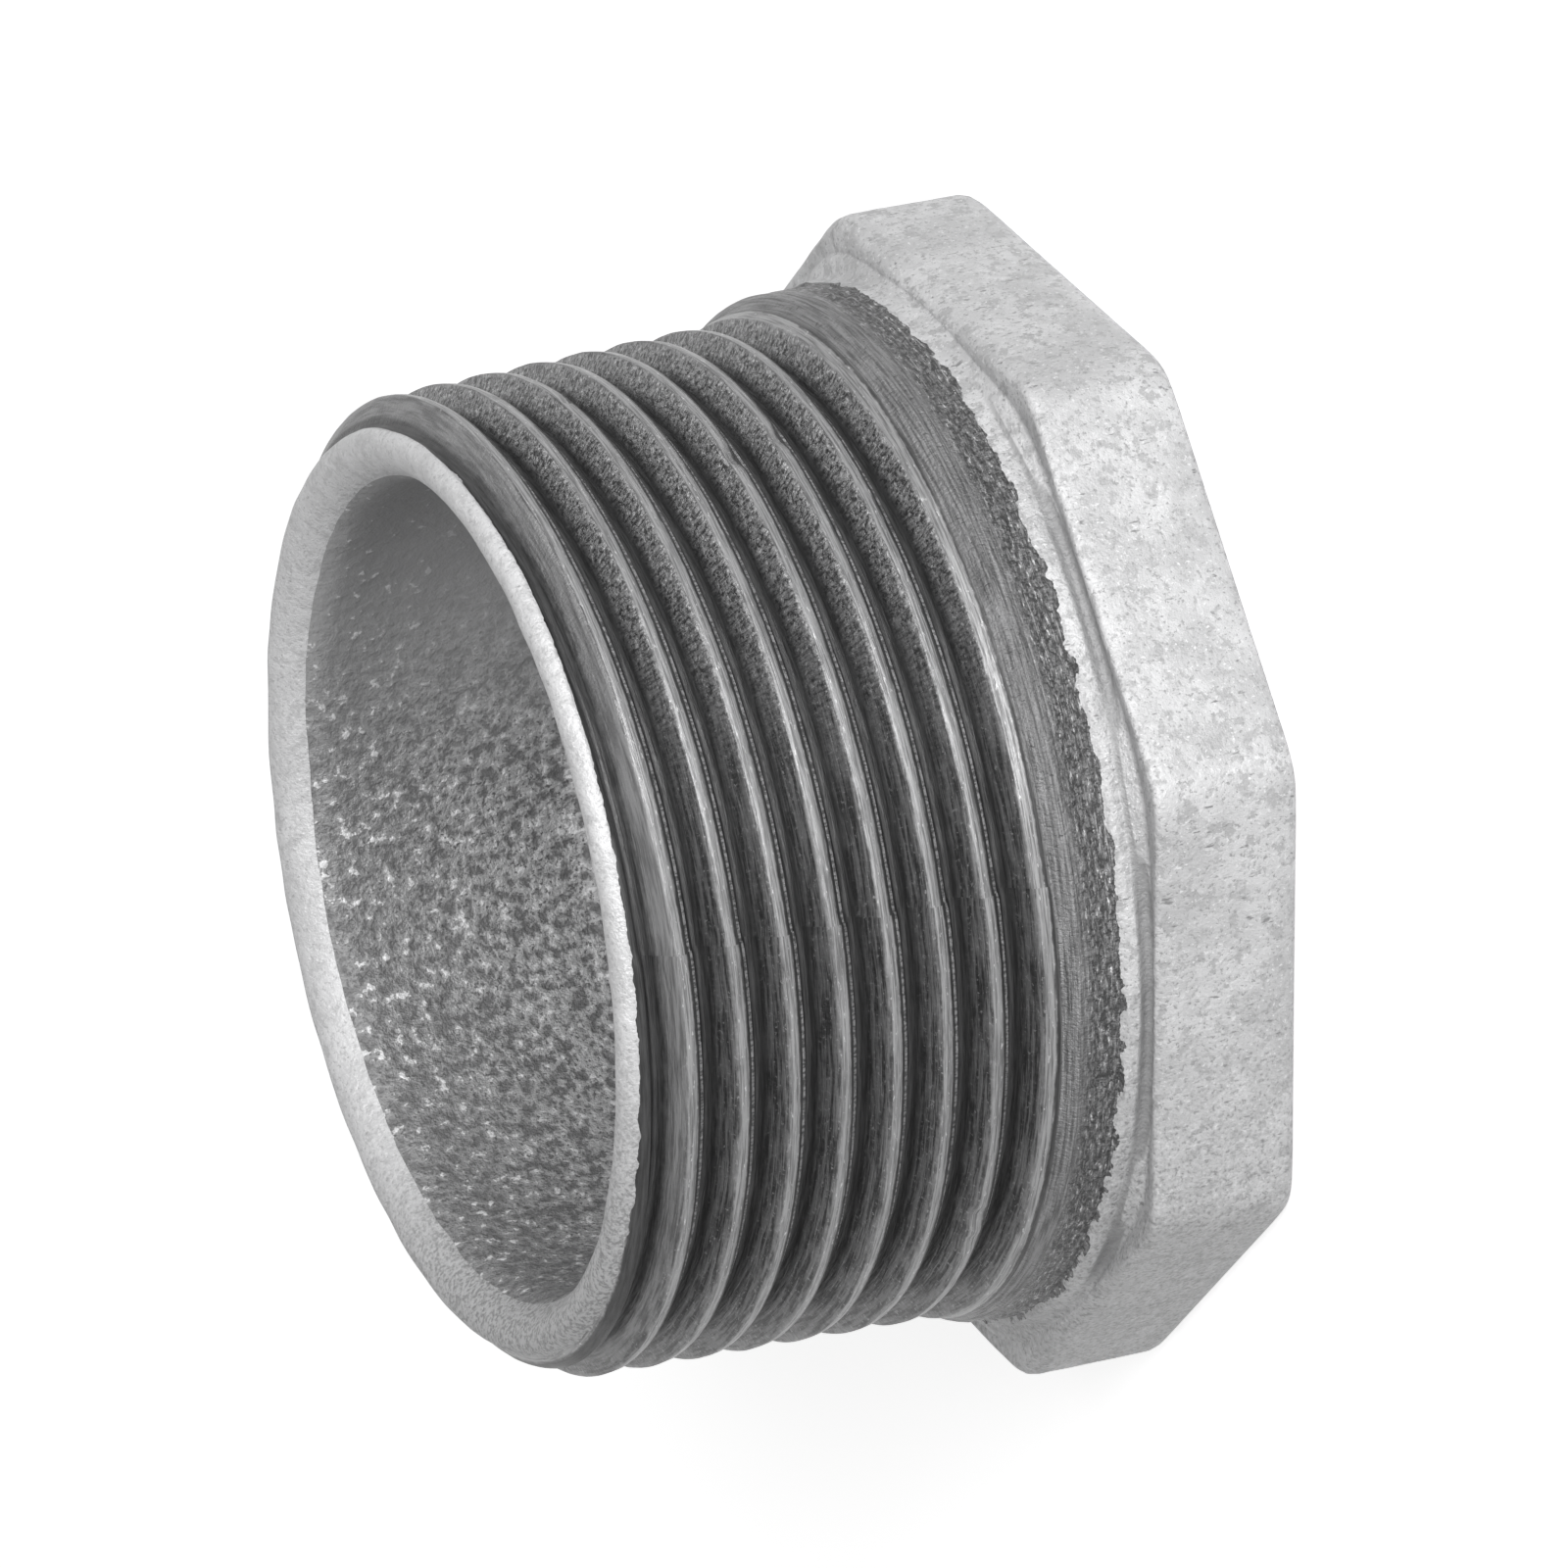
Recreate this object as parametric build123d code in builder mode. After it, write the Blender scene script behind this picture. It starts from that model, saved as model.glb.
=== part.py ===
from build123d import *
from math import atan2, degrees, hypot, radians, tan
import os

# Reducing pipe bushing, 1-1/4 inch male thread to 1 inch female thread, cast in one piece.
# Frame: +Z is the pipe axis. The bushing stands on the outer face of its wrench head at z = 0,
# with the male thread and its tail end upwards. All lengths are in millimetres.

# ---- Wrench head: eight flats, softened by the casting and its zinc coat ----
flat_count = 8
across_flats = 45.7
head_height = 6.4
head_corner_radius = 2.5
head_edge_bevel = 0.6

# ---- Body ----
overall_length = 28.4

# ---- Male thread: taper pipe thread, 11.5 threads per inch, 1 in 16 on the diameter ----
inch = 25.4
threads_per_inch = 11.5
taper_on_diameter = 1 / 16
flank_angle = 30.0
male_crest_diameter = 41.1
male_crest_flat = 0.45
groove_clearance = 0.3

# ---- Collar and thread run-out, between the head and the full thread ----
collar_base_diameter = 44.8
collar_top_diameter = 43.6
collar_height = 1.3
runout_length = 3.1

# ---- Tail end: cored bore, a rim bevelled inside and out, and the thread's lead-in ----
tail_bore_diameter = 34.0
rim_inner_diameter = 36.2
rim_bevel_depth = 1.7
rim_outer_diameter = 38.6
rim_edge_bevel = 0.4
lead_in_length = 1.2

# ---- Female thread: the same pitch and taper, tapped from the head ----
tapping_diameter = 29.37
tapped_length = 14.0
female_root_diameter = 32.6
female_full_turns = 4
mouth_diameter = 33.4
mouth_angle = 45.0
bore_step_angle = 55.0

# ---- Sizes that follow ----
pitch = inch / threads_per_inch
taper_on_radius = taper_on_diameter / 2
groove_half_width = (pitch - male_crest_flat) / 2
male_thread_depth = groove_half_width / tan(radians(flank_angle))
collar_top_z = head_height + collar_height
thread_bottom_z = collar_top_z + runout_length
rim_edge_z = overall_length - rim_edge_bevel
lead_in_bottom_z = rim_edge_z - lead_in_length
tapping_radius = tapping_diameter / 2
female_thread_depth = female_root_diameter / 2 - tapping_radius
bore_radius = tail_bore_diameter / 2
mouth_depth = (mouth_diameter / 2 - tapping_radius) / tan(radians(mouth_angle))
bore_step_length = (bore_radius - tapping_radius) / tan(radians(bore_step_angle))


def crest_radius(z):
    """Radius of the male thread's crests at a height on the axis."""
    return male_crest_diameter / 2 + (overall_length - z) * taper_on_radius


def root_radius(z):
    """Radius of the male thread's roots at a height on the axis."""
    return crest_radius(z) - male_thread_depth


def female_root_radius(z):
    """Radius of the female thread's roots at a height on the axis."""
    return female_root_diameter / 2 - z * taper_on_radius


def cut_one_turn(bottom_z, bottom_radius, top_radius, opening):
    """Cut one right-hand turn of a V groove between two root radii; opening is its depth, outwards."""
    narrowing = bottom_radius - top_radius
    slant_pitch = hypot(pitch, narrowing)
    with BuildLine():
        turn = Helix(
            slant_pitch,
            slant_pitch,
            bottom_radius,
            center=(0, 0, bottom_z),
            cone_angle=-degrees(atan2(narrowing, pitch)),
        )
    start = turn @ 0
    half_width = abs(opening) * tan(radians(flank_angle))
    with BuildSketch(Plane(start, x_dir=(start.X, start.Y, 0), z_dir=turn % 0)) as groove:
        with BuildLine():
            Polyline((0, 0), (opening, -half_width), (opening, half_width), close=True)
        make_face()
    sweep(groove.sketch, path=turn, is_frenet=True, mode=Mode.SUBTRACT)


with BuildPart() as bushing:
    # Wrench head
    with BuildSketch():
        RegularPolygon(across_flats / 2, flat_count, major_radius=False, rotation=180 / flat_count)
        fillet(vertices(), head_corner_radius)
    extrude(amount=head_height)
    head_edges = edges().group_by(Axis.Z)
    chamfer(head_edges[0] + head_edges[-1], head_edge_bevel)

    # Barrel: collar, thread run-out, the thread's crest cone, its lead-in and the rim's outer edge
    with BuildSketch(Plane.XZ):
        with BuildLine():
            Polyline(
                (0, head_edge_bevel),
                (collar_base_diameter / 2, head_edge_bevel),
                (collar_base_diameter / 2, head_height),
                (collar_top_diameter / 2, collar_top_z),
                (crest_radius(thread_bottom_z), thread_bottom_z),
                (crest_radius(lead_in_bottom_z), lead_in_bottom_z),
                (rim_outer_diameter / 2, rim_edge_z),
                (rim_outer_diameter / 2 - rim_edge_bevel, overall_length),
                (0, overall_length),
                close=True,
            )
        make_face()
    revolve(axis=Axis.Z)

    # Male thread: a washout turn that fades into the run-out, then full turns past the tail end
    full_depth_z = thread_bottom_z + pitch / 2
    male_opening = male_thread_depth + groove_clearance
    cut_one_turn(full_depth_z - pitch, collar_top_diameter / 2, root_radius(full_depth_z), male_opening)
    turn_z = full_depth_z
    while turn_z - groove_half_width < overall_length:
        cut_one_turn(turn_z, root_radius(turn_z), root_radius(turn_z + pitch), male_opening)
        turn_z += pitch

    # Passage: tapped hole from the head, a cone, and the cored bore with its bevelled mouth
    with BuildSketch(Plane.XZ):
        with BuildLine():
            Polyline(
                (0, 0),
                (mouth_diameter / 2, 0),
                (tapping_radius, mouth_depth),
                (tapping_radius, tapped_length),
                (bore_radius, tapped_length + bore_step_length),
                (bore_radius, overall_length - rim_bevel_depth),
                (rim_inner_diameter / 2, overall_length),
                (0, overall_length),
                close=True,
            )
        make_face()
    revolve(axis=Axis.Z, mode=Mode.SUBTRACT)

    # Female thread: full turns from below the mouth, then a turn that fades into the hole's wall
    female_opening = -(female_thread_depth + groove_clearance)
    turn_z = -pitch
    for _ in range(female_full_turns):
        cut_one_turn(turn_z, female_root_radius(turn_z), female_root_radius(turn_z + pitch), female_opening)
        turn_z += pitch
    cut_one_turn(turn_z, female_root_radius(turn_z), tapping_radius - groove_clearance, female_opening)

bushing.part.label = "bushing"
os.makedirs("parts", exist_ok=True)
export_step(bushing.part, "parts/bushing.step")
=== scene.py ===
from math import atan2, ceil, cos, floor, hypot, pi, radians, sin, tan

import bmesh
import bpy
from mathutils import Matrix, Vector, noise


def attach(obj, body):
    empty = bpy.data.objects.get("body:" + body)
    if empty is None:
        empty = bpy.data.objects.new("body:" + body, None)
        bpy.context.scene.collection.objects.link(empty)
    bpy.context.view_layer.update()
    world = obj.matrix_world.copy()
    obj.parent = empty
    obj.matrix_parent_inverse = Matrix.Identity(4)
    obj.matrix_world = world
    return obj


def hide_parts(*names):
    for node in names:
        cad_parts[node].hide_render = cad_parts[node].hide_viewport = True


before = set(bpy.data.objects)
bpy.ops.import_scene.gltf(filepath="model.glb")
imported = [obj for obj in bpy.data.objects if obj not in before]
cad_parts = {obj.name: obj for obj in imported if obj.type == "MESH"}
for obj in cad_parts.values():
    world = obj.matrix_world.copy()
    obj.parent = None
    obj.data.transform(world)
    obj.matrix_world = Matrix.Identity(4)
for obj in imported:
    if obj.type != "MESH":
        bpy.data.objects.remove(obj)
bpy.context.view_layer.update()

# The bushing stands on its head: +Z is the pipe axis, the head's outer face is z = 0 and azimuths
# are measured from +X, the normal of one flat. Sizes are in millimetres unless a comment says
# metres; meshes, lamps and the camera are in metres.
MM = 0.001

# ---- Male thread ----
PITCH = 25.4 / 11.5
TAPER = 1 / 32
THREAD_TOP = 27.72
THREAD_BOTTOM = 7.55
LENGTH = 28.4
CREST_RADIUS_AT_END = 20.55
# The die stopped at this azimuth; the mesh and the turn fractions start there
DIE_STOP = radians(331.0)
CREST_AT_DIE_STOP = 26.07
DIE_STOP_JOG = 0.09
# Distance from the crest along the axis (towards the rim is positive) and depth below the crest
THREAD_PROFILE = (
    (-1.10, 1.40),
    (-0.99, 1.36),
    (-0.69, 0.60),
    (-0.56, 0.56),
    (-0.40, 0.20),
    (-0.17, 0.06),
    (0.02, 0.02),
    (0.19, 0.0),
    (0.34, 0.27),
    (0.50, 0.56),
    (0.66, 0.84),
    (0.82, 1.12),
    (0.96, 1.36),
)
# The same profile, carried on to the root of the next groove
THREAD_WRAP = THREAD_PROFILE + ((THREAD_PROFILE[0][0] + PITCH, THREAD_PROFILE[0][1]),)
LEAD_IN_TOP_RADIUS = 19.42
LEAD_IN_START = 26.85
FIRST_TURN_START = 25.9
# The rim-facing flanks are torn, but smooth on both sides of the die stop line: where they turn
# smooth and torn again, in turn fractions from that line
SMOOTH_FROM = (0.62, 0.85)
SMOOTH_UNTIL = (0.13, 0.03)

# ---- Run-out: the die went deeper on one side, so its top and its radius swing round the axis ----
HIGH_SIDE = radians(72.7)
RUNOUT_TOP = 10.9
RUNOUT_TOP_SWING = 0.55
RUNOUT_RAMP = 1.5
RUNOUT_SOFT_TOP = 0.3
RUNOUT_RADIUS = 21.74
RUNOUT_RADIUS_SWING = 0.14
TORN_TOP = 9.0
# It flares a little below this height, next to the zinc
FLARE_START = 8.3
FLARE = 0.12

# ---- Chips and nicks in the crests: azimuth in degrees, height, depth and width ----
NICKS = (
    (30.0, 17.35, 0.42, 0.8),
    (31.5, 15.15, 0.35, 0.7),
    (288.0, 12.65, 0.36, 0.8),
    (283.5, 12.6, 0.25, 0.6),
    (322.0, 19.45, 0.14, 0.3),
    (352.0, 21.6, 0.16, 0.35),
    (8.0, 13.0, 0.18, 0.4),
    (48.0, 22.0, 0.2, 0.4),
    (306.0, 17.0, 0.15, 0.3),
    (140.0, 20.2, 0.25, 0.5),
    (200.0, 15.9, 0.25, 0.5),
    (120.0, 13.6, 0.2, 0.4),
    (230.0, 23.1, 0.2, 0.4),
)
# They are this many times longer round the axis than along it
NICK_STRETCH = 1.5

# ---- Head ----
FLAT_COUNT = 8
APOTHEM = 22.85
# A power: the higher it is, the sharper the corners between the flats
CORNER_SHARPNESS = 66.0
HEAD_TOP = 6.5
COLLAR_RADIUS = 22.0
# How far each flat stands proud of the even octagon, by the azimuth of its normal in degrees
FLAT_PROUD = {0: 0.22, 45: 0.0, 90: 0.15, 135: 0.0, 180: 0.0, 225: 0.0, 270: 0.0, 315: -0.2}
FLAT_DOME = 0.10
# The groove by the near face runs along the flats on this side and fades out at both ends
GROOVE_MIDDLE = radians(330.0)
GROOVE_REACH = radians(58.0)
# The zinc is duller on this side
DULL_SIDE = radians(258.0)

# ---- Passage ----
BORE_RADIUS = 17.0
BORE_BOTTOM = 15.9
BORE_TOP = 26.2
# The bore's casting is rougher on this side
ROUGH_SIDE = radians(230.0)
TAPPING_RADIUS = 14.685
TAPPED_LENGTH = 14.0
MOUTH_RADIUS = 16.7
FEMALE_ROOT_AT_FACE = 16.3
FEMALE_FULL_TURNS = 3
FEMALE_END_RADIUS = 14.385
FEMALE_BOTTOM = 0.3
# Breaks of the female thread's section, as distances along the axis from a root
FEMALE_BREAKS = (-0.90, -0.62, -0.42, -0.2, -0.02, 0.02, 0.2, 0.42, 0.62, 0.90)
FLANK = radians(30.0)

# ---- Skins: the bore and the tapped hole lie inside the first two radii, the thread outside the last ----
BORE_SKIN_RADIUS = 17.3
TAPPED_SKIN_RADIUS = 16.5
OUTSIDE_RADIUS = 18.0

# ---- Mesh: columns round the axis, steps up the bore and the welding distance in metres ----
COLUMNS = 360
BORE_STEPS = 17
WELD = 2e-6

# ---- Floor: it lies a gap below the head, so that the two faces don't coincide ----
FLOOR_GAP = 0.02
FLOOR_REACH = 3.0  # metres
FLOOR_GREY = 0.9
# Glow of the floor where it is seen: it shows white there and keeps the shadow
FLOOR_GLOW = 0.68

# ---- Light and greys ----
# Strength of the world as light on the object; where it is seen, its strength is 1
WORLD_LIGHT = 0.25
LIT_POINT = (0.0, 0.0, 0.014)  # metres
# Blue of every grey, as a share of its red and green
BLUE_CAST = 1.01

# ---- Camera: fitted to the photograph, with its angles in degrees ----
CAMERA_TARGET = (0.534, 1.710, 12.569)
CAMERA_DISTANCE = 658.97
CAMERA_AZIMUTH = 342.66
CAMERA_ELEVATION = 21.02
CAMERA_ROLL = 100.97
CAMERA_LENS = 365.29
SENSOR = 36.0


def mix(a, b, share):
    return a + (b - a) * share


def smooth(low, high, value):
    """0 at low and 1 at high with soft ends; low may be the greater."""
    share = min(max((value - low) / (high - low), 0.0), 1.0)
    return share * share * (3 - 2 * share)


def table(points, value):
    """Straight-line reading of a table of (place, value) points in rising order."""
    if value <= points[0][0]:
        return points[0][1]
    for (x0, y0), (x1, y1) in zip(points, points[1:]):
        if value <= x1:
            return mix(y0, y1, (value - x0) / (x1 - x0))
    return points[-1][1]


def rough(x, y, z, scale, seed):
    """Noise between about -1 and 1 with bumps about as wide as scale, in millimetres."""
    return noise.noise(Vector((x / scale + seed, y / scale - seed, z / scale + 2 * seed)))


def on_circle(theta, radius):
    return radius * cos(theta), radius * sin(theta)


# ------------------------------------------------------------------ male thread


def runout_top(theta):
    return RUNOUT_TOP + RUNOUT_TOP_SWING * cos(theta - HIGH_SIDE)


def crest_cone(theta, z):
    """Radius over the crests: the thread's taper, then the swelling of the run-out."""
    taper = CREST_RADIUS_AT_END + (LENGTH - z) * TAPER
    swollen = RUNOUT_RADIUS + RUNOUT_RADIUS_SWING * cos(theta - HIGH_SIDE)
    top = runout_top(theta)
    radius = mix(taper, swollen, 1 - smooth(top - RUNOUT_RAMP, top + RUNOUT_SOFT_TOP, z))
    return radius + FLARE * smooth(FLARE_START, THREAD_BOTTOM, z)


def jog(fraction):
    """The small slip of the thread at the die stop line, where a turn of the mesh closes."""
    return DIE_STOP_JOG * (0.5 - fraction) if 0 < fraction < 1 else 0.0


def from_crest(fraction, z):
    """Distance along the axis from the nearest crest, positive towards the rim."""
    turns = (z - CREST_AT_DIE_STOP - jog(fraction)) / PITCH - fraction + 0.5
    return (turns - floor(turns) - 0.5) * PITCH


def nick(theta, z):
    """How deep the chips and nicks cut at a place."""
    total = 0.0
    for azimuth, height, depth, width in NICKS:
        aside = cos(theta - radians(azimuth))
        if aside > 0.99 and abs(z - height) < width:
            reach = CREST_RADIUS_AT_END * hypot(1 - aside, sin(theta - radians(azimuth)))
            total += depth * max(1 - hypot(reach, (z - height) * NICK_STRETCH) / width, 0.0) ** 0.7
    return total


def thread_point(theta, fraction, z):
    """Radius and height of a point of the cut thread and its run-out."""
    away = from_crest(fraction, z)
    if away < THREAD_PROFILE[0][0]:
        away += PITCH
    depth = table(THREAD_WRAP, away)
    top = runout_top(theta)
    full = smooth(top - 1.35, top - 0.05, z)
    radius = crest_cone(theta, z) - depth * full
    if z > LEAD_IN_START:
        share = (z - LEAD_IN_START) / (THREAD_TOP - LEAD_IN_START)
        radius = min(radius, mix(crest_cone(theta, LEAD_IN_START), LEAD_IN_TOP_RADIUS, share))
    x, y = on_circle(theta, radius)
    # torn metal on the rim-facing flank, weaker on its smooth side, and a wavy crest
    smooth_side = max(smooth(*SMOOTH_FROM, fraction), smooth(*SMOOTH_UNTIL, fraction))
    torn = smooth(0.16, 0.32, away) * (1 - smooth(0.70, 0.92, away)) * full * mix(1.0, 0.3, smooth_side)
    torn *= 1 - smooth(FIRST_TURN_START, 26.6, z)
    radius += torn * 0.09 * rough(x, y, z, 0.5, 3.0)
    radius += 0.02 * rough(x, y, z, 1.3, 9.0)
    radius -= nick(theta, z) * (1 - smooth(0.0, 0.7, depth))
    # the run-out is scored along the turn, then torn next to the zinc
    washed = (1 - full) * smooth(THREAD_BOTTOM, THREAD_BOTTOM + 0.2, z)
    edge = 1 - smooth(TORN_TOP - 0.5, TORN_TOP + 0.3, z)
    radius += washed * edge * 0.13 * rough(x, y, z, 0.7, 5.0)
    radius += washed * (1 - edge) * 0.05 * sin((z / 0.42 - fraction) * 2 * pi)
    return radius, z


def thread_rows(fraction):
    """Heights of the thread's rows, falling, on a column: the same breaks on every turn."""
    first = ceil((THREAD_TOP - CREST_AT_DIE_STOP) / PITCH) + 1
    last = floor((THREAD_BOTTOM - CREST_AT_DIE_STOP) / PITCH) - 2
    rows = []
    for turn in range(first, last, -1):
        for away, _ in reversed(THREAD_PROFILE):
            z = CREST_AT_DIE_STOP + jog(fraction) + (turn + fraction) * PITCH + away
            rows.append(min(max(z, THREAD_BOTTOM), THREAD_TOP))
    return rows


# ------------------------------------------------------------------ head


def head_radius(theta):
    """Distance from the axis to the head's outline: eight flats with rounded corners."""
    total = 0.0
    for azimuth, proud in FLAT_PROUD.items():
        lean = cos(theta - radians(azimuth))
        if lean > 0:
            total += (lean / (APOTHEM + proud)) ** CORNER_SHARPNESS
    return total ** (-1 / CORNER_SHARPNESS)


def head_rows(theta):
    """The collar, the near face, the flat and the back edge, from the run-out to z = 0."""
    outline = head_radius(theta)
    corner = smooth(APOTHEM, APOTHEM / cos(pi / FLAT_COUNT), outline)
    offset = abs(atan2(sin(theta - GROOVE_MIDDLE), cos(theta - GROOVE_MIDDLE)))
    grooved = 1 - smooth(GROOVE_REACH * 0.8, GROOVE_REACH * 1.05, offset)
    groove = min(22.3 + 0.75 * corner, outline - 0.42)
    sink = 0.16 * grooved
    # where there is no groove the near edge is rounder
    soft = mix(2.2, 1.0, grooved)
    dome = FLAT_DOME * (1 - corner)
    x, y = on_circle(theta, COLLAR_RADIUS)
    burr = 0.12 * rough(x, y, 7.5, 0.8, 11.0)
    ridge = 0.07 * grooved * rough(x, y, 6.5, 0.9, 15.0)
    face = HEAD_TOP - 0.05
    edge_low = HEAD_TOP - 0.40 * soft
    # the collar, the groove, the near face and its rounded edge
    rows = [
        (COLLAR_RADIUS + burr, 7.45 + burr),
        (22.03 + 0.5 * burr, 7.25),
        (22.10, 7.0),
        (22.17 - 0.10 * grooved, 6.84),
        (groove - 0.14 - 0.22 * grooved, 6.64),
        (groove - 0.06 - 0.22 * grooved, 6.50 - sink),
        (groove, 6.44 - 1.3 * sink),
        (groove + 0.08, face - sink),
        (max(groove + 0.12, outline - 0.24 * soft) + ridge, face),
        (outline - 0.13 * soft + ridge, HEAD_TOP - 0.10 * soft + ridge),
        (outline - 0.04 * soft, HEAD_TOP - 0.22 * soft),
        (outline, edge_low),
    ]
    # the slightly domed flat
    for share in (0.12, 0.25, 0.4, 0.55, 0.7, 0.85):
        bulge = 4 * share * (1 - share)
        rows.append((outline + dome * bulge, mix(edge_low, 0.75, share)))
    # the back edge
    rows += [
        (outline - 0.01, 0.72),
        (outline - 0.10, 0.40),
        (outline - 0.28, 0.16),
        (outline - 0.55, 0.03),
        (outline - 0.85, 0.0),
    ]
    return rows


# ------------------------------------------------------------------ passage


def female_radius(turn, z):
    """Radius of the female thread's wall at a height; turn is the azimuth in turns from +X."""
    root_turns = floor(z / PITCH - turn + 0.5) + turn
    root_z = root_turns * PITCH
    last = FEMALE_FULL_TURNS * PITCH
    root = FEMALE_ROOT_AT_FACE - min(root_z, last) * TAPER
    root = mix(root, FEMALE_END_RADIUS, min(max(root_turns - FEMALE_FULL_TURNS, 0.0), 1.0))
    return max(root - abs(z - root_z) / tan(FLANK), TAPPING_RADIUS)


def female_rows(fraction):
    """The female thread's rows, rising, with a break at each root and each edge of a crest."""
    high = (FEMALE_FULL_TURNS + 1.6) * PITCH
    turn = fraction + DIE_STOP / (2 * pi)
    rows = []
    for step in range(-2, FEMALE_FULL_TURNS + 3):
        for away in FEMALE_BREAKS:
            z = min(max((step + turn) * PITCH + away, FEMALE_BOTTOM), high)
            rows.append((max(female_radius(turn, z), MOUTH_RADIUS - z), z))
    return rows


def passage_rows(fraction):
    """The outer face, the mouth, the female thread, the cone and the cored bore up to the rim."""
    rows = [(21.2, 0.0), (20.0, 0.0), (18.5, 0.0), (17.4, 0.0)]
    rows += [(MOUTH_RADIUS, 0.0), (MOUTH_RADIUS - FEMALE_BOTTOM, FEMALE_BOTTOM)]
    rows += female_rows(fraction)
    rows += [(TAPPING_RADIUS, 12.0), (TAPPING_RADIUS, 13.4), (TAPPING_RADIUS, TAPPED_LENGTH)]
    rows += [(15.3, 14.4), (16.1, 14.95), (16.75, 15.45), (16.97, BORE_BOTTOM)]
    for step in range(1, BORE_STEPS):
        rows.append((BORE_RADIUS, mix(BORE_BOTTOM, BORE_TOP, step / BORE_STEPS)))
    rows += [(BORE_RADIUS, 26.35), (17.08, 26.75), (17.25, 27.2)]
    rows += [(17.5, 27.62), (17.82, 28.0), (18.15, 28.24)]
    return rows


# The rounded rim, from the bore's bevel out to the start of the thread
RIM_ROWS = [(18.5, 28.38), (18.85, 28.4), (19.1, 28.3), (19.28, 28.1), (19.38, 27.9)]


def section(theta, fraction):
    """The closed section on one column: (radius, height) from the rim, down outside and up the passage."""
    rows = list(RIM_ROWS)
    rows += [thread_point(theta, fraction, z) for z in thread_rows(fraction)]
    rows += head_rows(theta)
    rows += passage_rows(fraction)
    return rows


def cast_skin(theta, radius, z):
    """Lumps and pits of the zinc coat and of the cored bore, as a change of radius and height."""
    x, y = on_circle(theta, radius)
    if radius < BORE_SKIN_RADIUS and z > TAPPED_LENGTH:
        return 0.05 * rough(x, y, z, 1.1, 1.0) + 0.06 * rough(x, y, z, 3.2, 2.0), 0.0
    if z > THREAD_TOP:
        return 0.05 * rough(x, y, z, 2.2, 4.0), 0.05 * rough(x, y, z, 1.7, 6.0)
    if THREAD_BOTTOM > z > 0.9 and radius > OUTSIDE_RADIUS:
        return 0.035 * rough(x, y, z, 1.2, 8.0) + 0.04 * rough(x, y, z, 4.0, 2.5), 0.0
    return 0.0, 0.0


def build_bushing():
    """One closed mesh: a section on each column, joined round the axis and welded where points meet."""
    points = []
    faces = []
    for column in range(COLUMNS + 1):
        fraction = column / COLUMNS
        theta = DIE_STOP + 2 * pi * (fraction % 1.0)
        for radius, z in section(theta, fraction):
            out, up = cast_skin(theta, radius, z)
            x, y = on_circle(theta, radius + out)
            points.append((x * MM, y * MM, (z + up) * MM))
    rows = len(points) // (COLUMNS + 1)
    for column in range(COLUMNS):
        for row in range(rows):
            after = (row + 1) % rows
            here = column * rows
            there = here + rows
            faces.append((here + row, here + after, there + after, there + row))
    mesh = bpy.data.meshes.new("bushing_skin")
    mesh.from_pydata(points, [], faces)
    work = bmesh.new()
    work.from_mesh(mesh)
    bmesh.ops.remove_doubles(work, verts=work.verts, dist=WELD)
    bmesh.ops.recalc_face_normals(work, faces=work.faces)
    for face in work.faces:
        face.smooth = True
    open_edges = [edge for edge in work.edges if not edge.is_manifold]
    print("bushing_skin", len(work.verts), "points", len(work.faces), "faces", len(open_edges), "open edges")
    work.to_mesh(mesh)
    work.free()
    piece = bpy.data.objects.new("bushing_skin", mesh)
    bpy.context.scene.collection.objects.link(piece)
    return piece


# ------------------------------------------------------------------ materials


def new_material(name):
    material = bpy.data.materials.new(name)
    material.use_nodes = True
    material.node_tree.nodes.clear()
    return material


class Nodes:
    """Small helper that adds and joins shader nodes."""

    def __init__(self, tree):
        self.tree = tree

    def add(self, kind, inputs=None, **settings):
        node = self.tree.nodes.new(kind)
        for name, value in settings.items():
            setattr(node, name, value)
        for key, value in (inputs or {}).items():
            if isinstance(value, bpy.types.NodeSocket):
                self.tree.links.new(value, node.inputs[key])
            else:
                node.inputs[key].default_value = value
        return node

    def math(self, operation, *values):
        return self.add("ShaderNodeMath", dict(enumerate(values)), operation=operation).outputs[0]

    def ramp(self, value, low, high):
        """Smooth step of a value from 0 at low to 1 at high."""
        node = self.add(
            "ShaderNodeMapRange",
            {"Value": value, "From Min": low, "From Max": high},
            interpolation_type="SMOOTHSTEP",
        )
        return node.outputs["Result"]

    def noise(self, place, scale, detail=3.0, roughness=0.6):
        """Noise between 0 and 1, about a half on average; scale is in bumps to the unit of place."""
        node = self.add(
            "ShaderNodeTexNoise",
            {"Vector": place, "Scale": scale, "Detail": detail, "Roughness": roughness},
        )
        return node.outputs["Fac"]

    def level(self, share, first, second):
        """Plain mix of two numbers."""
        return self.math("ADD", first, self.math("MULTIPLY", share, self.math("SUBTRACT", second, first)))

    def blend(self, share, first, second):
        """Mix of two colours."""
        node = self.add("ShaderNodeMix", data_type="RGBA")
        for index, value in ((0, share), (6, first), (7, second)):
            if isinstance(value, bpy.types.NodeSocket):
                self.tree.links.new(value, node.inputs[index])
            else:
                node.inputs[index].default_value = value
        return node.outputs[2]


def grey(value):
    return (value, value, value * BLUE_CAST, 1.0)


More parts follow.
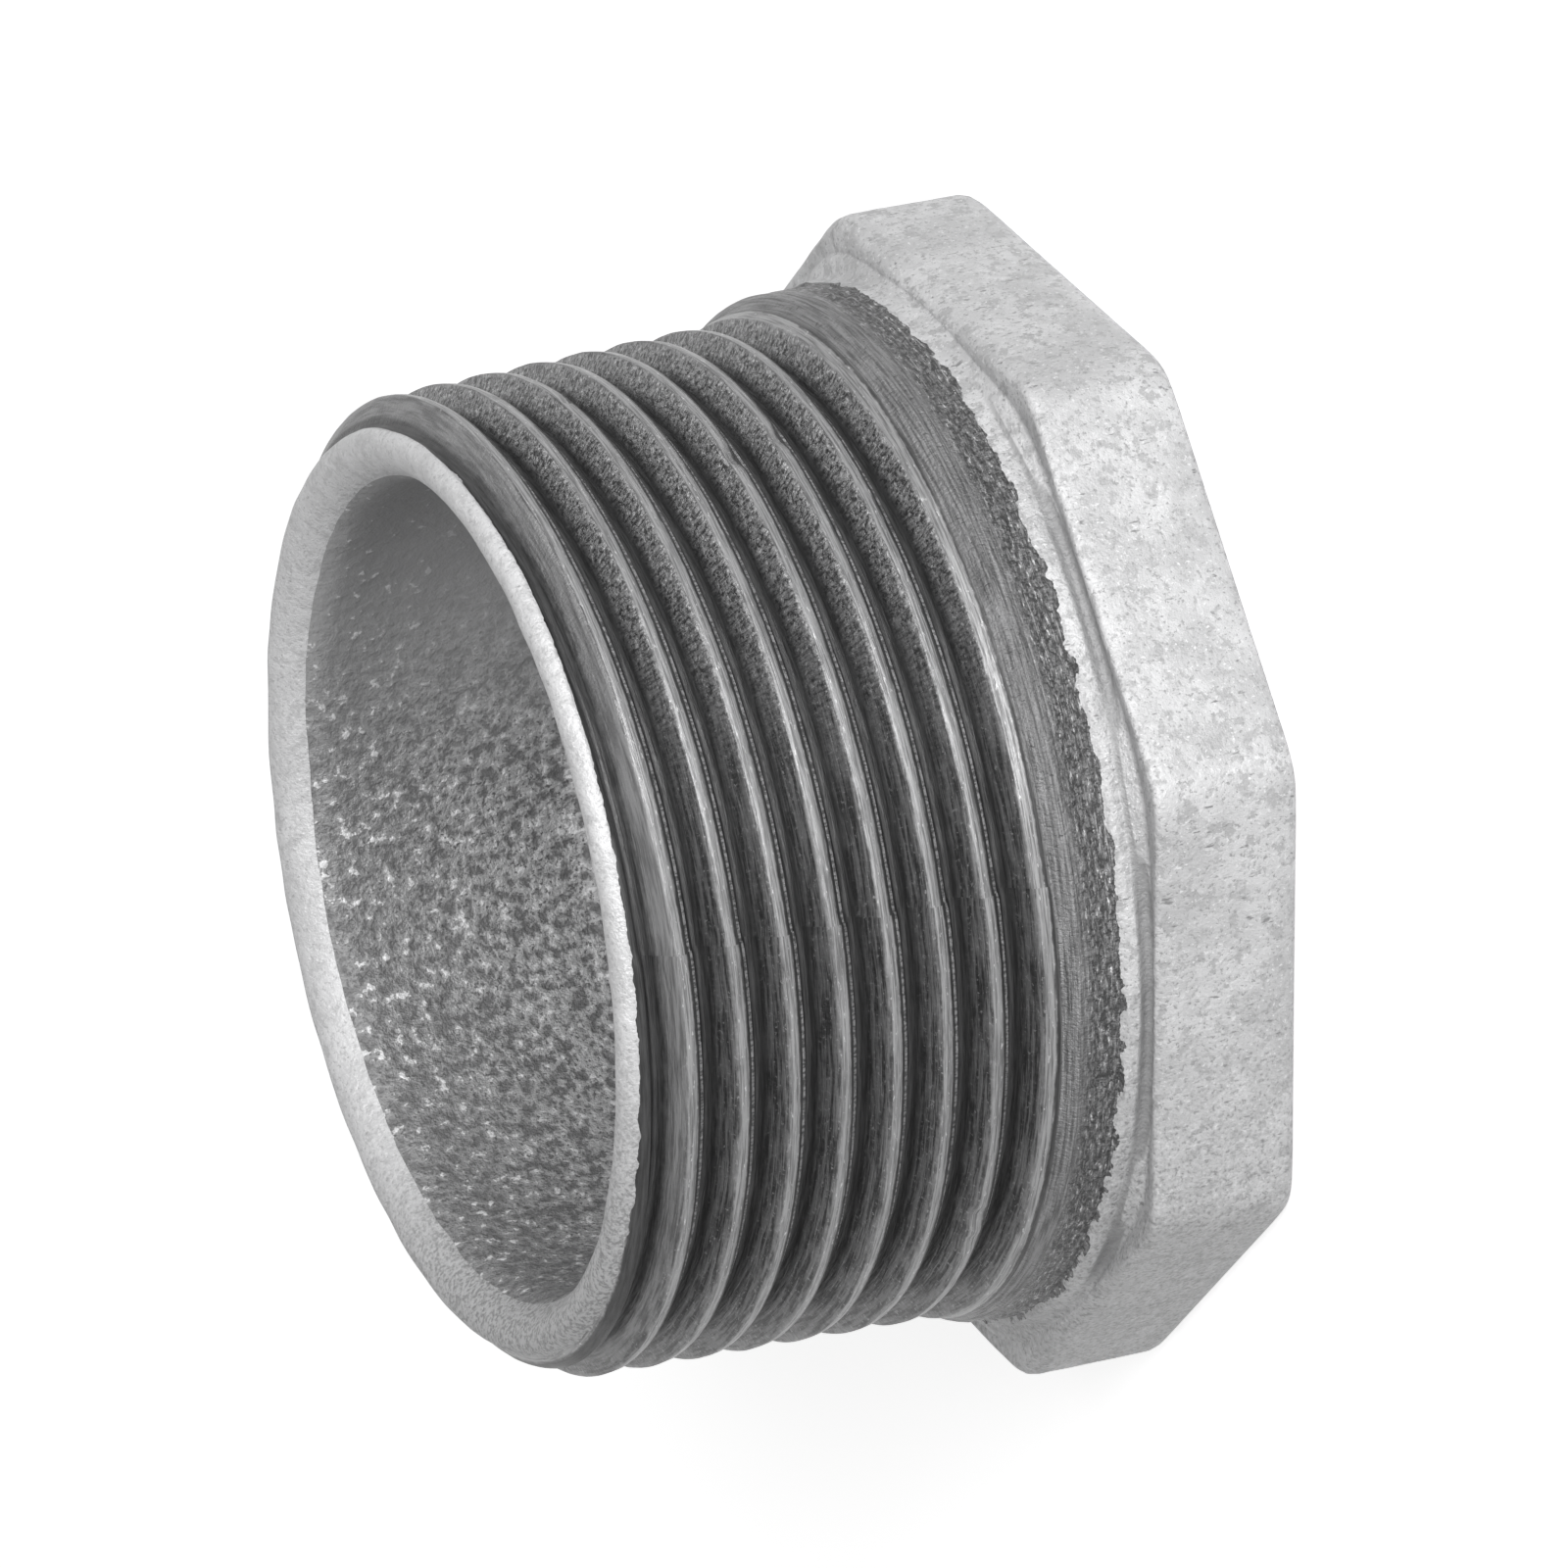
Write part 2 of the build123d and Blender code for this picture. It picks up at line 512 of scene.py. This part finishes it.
class Surface:
    """Where a point lies on the bushing, and noise there, which the colours and the relief come from.

    place is in metres and every other distance in millimetres.
    """

    def __init__(self, n):
        self.n = n
        self.place = n.add("ShaderNodeTexCoord").outputs["Object"]
        axes = n.add("ShaderNodeSeparateXYZ", {0: self.place})
        self.x, self.y, self.z = (n.math("DIVIDE", axes.outputs[i], MM) for i in range(3))
        squares = n.math("ADD", n.math("MULTIPLY", self.x, self.x), n.math("MULTIPLY", self.y, self.y))
        self.radius = n.math("SQRT", squares)
        # Turn fraction from the die stop line: 0 at its azimuth and rising to 1 round the axis
        across = self.towards(DIE_STOP - pi / 2)
        along = self.towards(DIE_STOP + pi)
        self.fraction = n.math("ADD", n.math("DIVIDE", n.math("ARCTAN2", across, along), 2 * pi), 0.5)
        # Turns of the thread from the top crest, plus a half, and the distance from the nearest crest
        slip = n.math("MULTIPLY", n.math("SUBTRACT", 0.5, self.fraction), DIE_STOP_JOG)
        lift = n.math("SUBTRACT", n.math("SUBTRACT", self.z, CREST_AT_DIE_STOP), slip)
        self.turns = n.math("ADD", n.math("SUBTRACT", n.math("DIVIDE", lift, PITCH), self.fraction), 0.5)
        self.away = n.math("MULTIPLY", n.math("SUBTRACT", n.math("FRACT", self.turns), 0.5), PITCH)
        # Noise with its scale in bumps to the metre, then noise that follows the turns
        self.fine = n.noise(self.place, 5200, roughness=0.65)
        self.medium = n.noise(self.place, 1500, 4.0, 0.65)
        self.broad = n.noise(self.place, 260)
        self.lines = self.along_thread(45, 9)
        self.dashes = self.along_thread(260, 7)
        self.scales = self.along_thread(900, 3)

    def towards(self, azimuth):
        """Distance from the axis in the direction of an azimuth."""
        n = self.n
        along_x = n.math("MULTIPLY", self.x, cos(azimuth))
        return n.math("ADD", along_x, n.math("MULTIPLY", self.y, sin(azimuth)))

    def facing(self, azimuth):
        """1 where the surface's azimuth is the given one, and -1 on the opposite side."""
        return self.n.math("DIVIDE", self.towards(azimuth), self.radius)

    def along_thread(self, round_axis, across):
        """Noise that follows the turns, with so many bumps round the axis and in a millimetre across."""
        n = self.n
        spread = n.math("MULTIPLY", self.turns, PITCH * across)
        lane = n.add("ShaderNodeCombineXYZ", {0: n.math("MULTIPLY", self.fraction, round_axis), 1: spread})
        return n.noise(lane.outputs[0], 1.0, 4.0, 0.7)


def zinc_colour(n, at):
    """Pale zinc coat: a faint spangle, soft patches, crisp specks and short dark strokes along the axis."""
    cells = n.add("ShaderNodeTexVoronoi", {"Vector": at.place, "Scale": 1300.0}).outputs["Color"]
    spangle = n.add("ShaderNodeSeparateColor", {0: cells}).outputs[0]
    stretched = n.add("ShaderNodeVectorMath", {0: at.place, 1: (1.0, 1.0, 0.3)}, operation="MULTIPLY")
    strokes = n.noise(stretched.outputs[0], 3600)
    zinc = n.blend(spangle, grey(0.57), grey(0.66))
    zinc = n.blend(n.ramp(at.broad, 0.38, 0.55), grey(0.53), zinc)
    zinc = n.blend(n.ramp(at.medium, 0.40, 0.48), grey(0.46), zinc)
    zinc = n.blend(n.ramp(at.fine, 0.34, 0.42), grey(0.36), zinc)
    zinc = n.blend(n.ramp(at.fine, 0.60, 0.68), zinc, grey(0.76))
    zinc = n.blend(n.ramp(strokes, 0.28, 0.36), grey(0.26), zinc)
    # paler on the rim
    zinc = n.blend(n.math("MULTIPLY", n.ramp(at.z, 26.0, 27.2), 0.35), zinc, grey(0.78))
    # a duller, more mottled side, most of all on the rim
    dull = n.ramp(at.facing(DULL_SIDE), 0.35, 0.95)
    on_rim = n.math("ADD", 0.42, n.math("MULTIPLY", n.ramp(at.z, 24.0, 27.0), 0.45))
    mottle = n.blend(n.ramp(at.fine, 0.40, 0.56), grey(0.24), grey(0.50))
    zinc = n.blend(n.math("MULTIPLY", dull, on_rim), zinc, mottle)
    # painted shade in the groove by the head's near face
    groove_side = n.ramp(at.facing(GROOVE_MIDDLE), 0.5, 0.62)
    low = n.math("MULTIPLY", n.ramp(at.z, 6.98, 6.72), n.ramp(at.z, 6.15, 6.3))
    inner = n.math("MULTIPLY", n.math("GREATER_THAN", at.radius, 20.0), n.ramp(at.radius, 22.42, 22.3))
    painted_groove_shade = n.math("MULTIPLY", n.math("MULTIPLY", low, inner), groove_side)
    return n.blend(n.math("MULTIPLY", painted_groove_shade, 0.75), zinc, grey(0.25))


def cut_colour(n, at):
    """Bare iron where the thread was cut, and where that iron is torn.

    The crests are lined, the flanks torn or lined, and the run-out is scored and then torn.
    """
    wobble = n.math("MULTIPLY", n.math("SUBTRACT", at.medium, 0.5), 0.22)
    near = n.math("ADD", at.away, wobble)
    # the two kinds of rim-facing flank
    torn = n.blend(n.ramp(at.scales, 0.38, 0.56), grey(0.10), grey(0.31))
    torn = n.blend(n.ramp(at.fine, 0.38, 0.48), grey(0.06), torn)
    torn = n.blend(n.ramp(at.fine, 0.58, 0.66), torn, grey(0.52))
    lined = n.blend(n.ramp(at.lines, 0.40, 0.58), grey(0.045), grey(0.19))
    lined = n.blend(n.ramp(at.fine, 0.60, 0.68), lined, grey(0.26))
    smooth_from = n.ramp(at.fraction, *SMOOTH_FROM)
    smooth_side = n.math("MAXIMUM", smooth_from, n.ramp(at.fraction, *SMOOTH_UNTIL))
    flank = n.blend(n.math("MULTIPLY", smooth_side, 0.9), torn, lined)
    # the first turn is lined all round, with painted shade for a thin groove and one painted highlight line
    # below the rim
    first_turn = n.ramp(at.z, FIRST_TURN_START, 26.4)
    bright_lined = n.blend(n.ramp(at.lines, 0.34, 0.62), grey(0.14), grey(0.27))
    painted_gutter_shade = n.ramp(at.z, 27.30, 27.42)
    glint = n.math("SUBTRACT", n.ramp(at.z, 27.50, 27.54), n.ramp(at.z, 27.58, 27.62))
    bright_lined = n.blend(painted_gutter_shade, bright_lined, n.blend(glint, grey(0.08), grey(0.26)))
    flank = n.blend(first_turn, flank, bright_lined)
    # the dark head-facing flank and root
    dark = n.blend(n.ramp(at.lines, 0.35, 0.65), grey(0.042), grey(0.085))
    upper = n.math("SUBTRACT", n.ramp(near, 0.14, 0.24), n.ramp(near, 0.56, 0.88))
    cut = n.blend(upper, dark, flank)
    # the beaded ledge under each crest, painted with a bright highlight line, and the crest's bright strands
    ledge_highlight = n.math("SUBTRACT", n.ramp(at.away, -0.71, -0.67), n.ramp(at.away, -0.58, -0.54))
    ledge_highlight = n.math("MULTIPLY", ledge_highlight, n.math("SUBTRACT", 1.0, first_turn))
    cut = n.blend(ledge_highlight, cut, n.blend(n.ramp(at.scales, 0.42, 0.58), grey(0.17), grey(0.55)))
    crest = n.math("SUBTRACT", n.ramp(near, -0.32, -0.22), n.ramp(near, 0.15, 0.26))
    strands = n.blend(n.ramp(at.lines, 0.36, 0.60), grey(0.15), grey(0.35))
    strands = n.blend(n.ramp(at.dashes, 0.60, 0.68), strands, grey(0.62))
    cut = n.blend(crest, cut, strands)
    # the run-out, scored along the turn and ripped next to the zinc
    swing = n.math("MULTIPLY", at.towards(HIGH_SIDE), RUNOUT_TOP_SWING / RUNOUT_RADIUS)
    below_top = n.math("SUBTRACT", n.math("ADD", swing, RUNOUT_TOP - 0.55), at.z)
    washed = n.ramp(below_top, 0.0, 0.25)
    scored = n.blend(n.ramp(at.lines, 0.36, 0.62), grey(0.10), grey(0.26))
    scored = n.blend(n.ramp(at.scales, 0.32, 0.42), grey(0.07), scored)
    scored = n.blend(n.math("MULTIPLY", crest, 0.55), scored, strands)
    ripped = n.blend(n.ramp(at.dashes, 0.40, 0.60), grey(0.07), grey(0.22))
    ripped = n.blend(n.ramp(at.fine, 0.38, 0.50), grey(0.055), ripped)
    ripped = n.blend(n.ramp(at.lines, 0.60, 0.66), ripped, grey(0.34))
    ripped = n.blend(n.ramp(at.dashes, 0.60, 0.66), ripped, grey(0.6))
    edge = n.ramp(n.math("ADD", at.z, n.math("MULTIPLY", wobble, 3.0)), TORN_TOP - 0.3, TORN_TOP + 0.35)
    torn_part = n.math("MAXIMUM", n.math("MULTIPLY", upper, n.math("SUBTRACT", 1.0, smooth_side)), washed)
    return n.blend(washed, cut, n.blend(edge, ripped, scored)), torn_part


def iron_material():
    material = new_material("galvanized_iron_cut_thread")
    n = Nodes(material.node_tree)
    at = Surface(n)

    # Where the thread was cut: between the ragged burr edge and the rim, on the outside
    ragged = n.math("MULTIPLY", n.math("SUBTRACT", n.noise(at.place, 900), 0.5), 0.9)
    outside = n.math("GREATER_THAN", at.radius, OUTSIDE_RADIUS)
    above = n.math("GREATER_THAN", n.math("ADD", at.z, ragged), THREAD_BOTTOM)
    below = n.math("LESS_THAN", n.math("ADD", at.z, n.math("MULTIPLY", ragged, 0.5)), THREAD_TOP)
    is_cut = n.math("MULTIPLY", n.math("MULTIPLY", outside, above), below)

    # Female thread: cut clean; cored bore: greyer zinc over a rough casting, with bright specks and painted
    # light that makes it paler deeper down
    below_cone = n.math("LESS_THAN", at.z, TAPPED_LENGTH)
    tapped = n.math("MULTIPLY", n.math("LESS_THAN", at.radius, TAPPED_SKIN_RADIUS), below_cone)
    in_bore = n.math("LESS_THAN", at.radius, BORE_SKIN_RADIUS)
    grit = n.noise(at.place, 1900)
    rough_side = n.ramp(at.facing(ROUGH_SIDE), -0.6, 0.25)
    # painted light: the cored bore is painted paler the deeper it lies, from the rim down to z = 17
    deep_bore_painted_light = n.ramp(at.z, 26.5, 17.0)
    even = n.blend(deep_bore_painted_light, grey(0.36), grey(0.68))
    even = n.blend(n.ramp(grit, 0.62, 0.70), even, grey(0.70))
    pitted = n.blend(n.ramp(grit, 0.38, 0.54), grey(0.20), n.blend(deep_bore_painted_light, grey(0.31), grey(0.52)))
    pitted = n.blend(n.ramp(at.fine, 0.36, 0.46), grey(0.16), pitted)
    pitted = n.blend(n.ramp(grit, 0.59, 0.67), pitted, grey(0.78))
    bore = n.blend(rough_side, even, pitted)
    cut, torn_part = cut_colour(n, at)
    tapped_grey = n.blend(n.ramp(at.lines, 0.32, 0.62), grey(0.14), grey(0.30))
    colour = n.blend(in_bore, zinc_colour(n, at), bore)
    colour = n.blend(tapped, colour, tapped_grey)
    colour = n.blend(is_cut, colour, cut)

    # Relief, as a height in millimetres
    zinc_relief = n.math("ADD", n.math("MULTIPLY", at.fine, 0.06), n.math("MULTIPLY", at.medium, 0.10))
    bore_rough = n.math("ADD", n.math("MULTIPLY", at.fine, 0.05), n.math("MULTIPLY", grit, 0.26))
    bore_relief = n.math("MULTIPLY", bore_rough, n.level(rough_side, 0.35, 1.0))
    lined_relief = n.math("MULTIPLY", at.lines, 0.05)
    torn_relief = n.math("ADD", n.math("MULTIPLY", at.scales, 0.10), n.math("MULTIPLY", at.fine, 0.08))
    cut_relief = n.level(torn_part, lined_relief, torn_relief)
    relief = n.level(is_cut, n.level(in_bore, zinc_relief, bore_relief), cut_relief)
    bump = n.add("ShaderNodeBump", {"Strength": 1.0, "Distance": MM, "Height": relief})

    # The cut iron is smoother and more metallic than the zinc
    patchy = n.math("ADD", 0.40, n.math("MULTIPLY", at.broad, 0.2))
    roughness = n.math("SUBTRACT", patchy, n.math("MULTIPLY", is_cut, 0.1))
    metallic = n.math("ADD", 0.25, n.math("MULTIPLY", is_cut, 0.35))
    shader = n.add(
        "ShaderNodeBsdfPrincipled",
        {
            "Base Color": colour,
            "Metallic": metallic,
            "Roughness": roughness,
            "Specular IOR Level": 0.3,
            "Normal": bump.outputs[0],
        },
    )
    n.add("ShaderNodeOutputMaterial", {"Surface": shader.outputs[0]})
    return material


def seen_share(n):
    """1 for what the camera sees, also in gloss or through glass, and 0 for light on the object."""
    path = n.add("ShaderNodeLightPath").outputs
    seen = n.math("MAXIMUM", path["Is Camera Ray"], path["Is Glossy Ray"])
    return n.math("MAXIMUM", seen, path["Is Transmission Ray"])


def floor_material():
    material = new_material("white_floor")
    n = Nodes(material.node_tree)
    strength = n.math("MULTIPLY", seen_share(n), FLOOR_GLOW)
    diffuse = n.add("ShaderNodeBsdfDiffuse", {"Color": (FLOOR_GREY, FLOOR_GREY, FLOOR_GREY, 1)})
    glow = n.add("ShaderNodeEmission", {"Color": (1, 1, 1, 1), "Strength": strength})
    both = n.add("ShaderNodeAddShader", {0: diffuse.outputs[0], 1: glow.outputs[0]})
    n.add("ShaderNodeOutputMaterial", {"Surface": both.outputs[0]})
    return material


def add_floor():
    level = -FLOOR_GAP * MM
    ways = ((-1, -1), (1, -1), (1, 1), (-1, 1))
    corners = [(x * FLOOR_REACH, y * FLOOR_REACH, level) for x, y in ways]
    mesh = bpy.data.meshes.new("floor")
    mesh.from_pydata(corners, [], [(0, 1, 2, 3)])
    floor_piece = bpy.data.objects.new("floor", mesh)
    mesh.materials.append(floor_material())
    bpy.context.scene.collection.objects.link(floor_piece)


# ------------------------------------------------------------------ light and camera


def polar(azimuth, elevation, distance, centre):
    """The place at a distance from the centre, in a direction given in degrees."""
    a = radians(azimuth)
    e = radians(elevation)
    way = Vector((cos(a) * cos(e), sin(a) * cos(e), sin(e)))
    return centre + way * distance


def add_lamp(name, azimuth, elevation, distance, size, power):
    """A round lamp that shines on the bushing; its distance and size are in metres."""
    data = bpy.data.lights.new(name, "AREA")
    data.shape = "DISK"
    data.size = size
    data.energy = power
    lamp = bpy.data.objects.new(name, data)
    centre = Vector(LIT_POINT)
    lamp.location = polar(azimuth, elevation, distance, centre)
    lamp.rotation_euler = (centre - lamp.location).to_track_quat("-Z", "Y").to_euler()
    bpy.context.scene.collection.objects.link(lamp)


def add_world():
    world = bpy.data.worlds.new("white_room")
    world.use_nodes = True
    world.node_tree.nodes.clear()
    n = Nodes(world.node_tree)
    strength = n.math("ADD", WORLD_LIGHT, n.math("MULTIPLY", seen_share(n), 1 - WORLD_LIGHT))
    background = n.add("ShaderNodeBackground", {"Color": (1, 1, 1, 1), "Strength": strength})
    n.add("ShaderNodeOutputWorld", {"Surface": background.outputs[0]})
    bpy.context.scene.world = world


def add_camera():
    data = bpy.data.cameras.new("camera")
    data.sensor_width = SENSOR
    data.lens = CAMERA_LENS
    data.clip_start = 0.01
    data.clip_end = 20
    camera = bpy.data.objects.new("camera", data)
    target = Vector(CAMERA_TARGET) * MM
    place = polar(CAMERA_AZIMUTH, CAMERA_ELEVATION, CAMERA_DISTANCE * MM, target)
    aim = (target - place).to_track_quat("-Z", "Y").to_matrix().to_4x4()
    camera.matrix_world = Matrix.Translation(place) @ aim @ Matrix.Rotation(radians(-CAMERA_ROLL), 4, "Z")
    bpy.context.scene.collection.objects.link(camera)
    bpy.context.scene.camera = camera


bushing = build_bushing()
bushing.data.materials.append(iron_material())
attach(bushing, "root")
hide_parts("bushing")

add_floor()
add_world()
add_lamp("key", azimuth=-1, elevation=20, distance=0.8, size=0.6, power=6.0)
add_camera()
bpy.context.scene.view_settings.view_transform = "Standard"
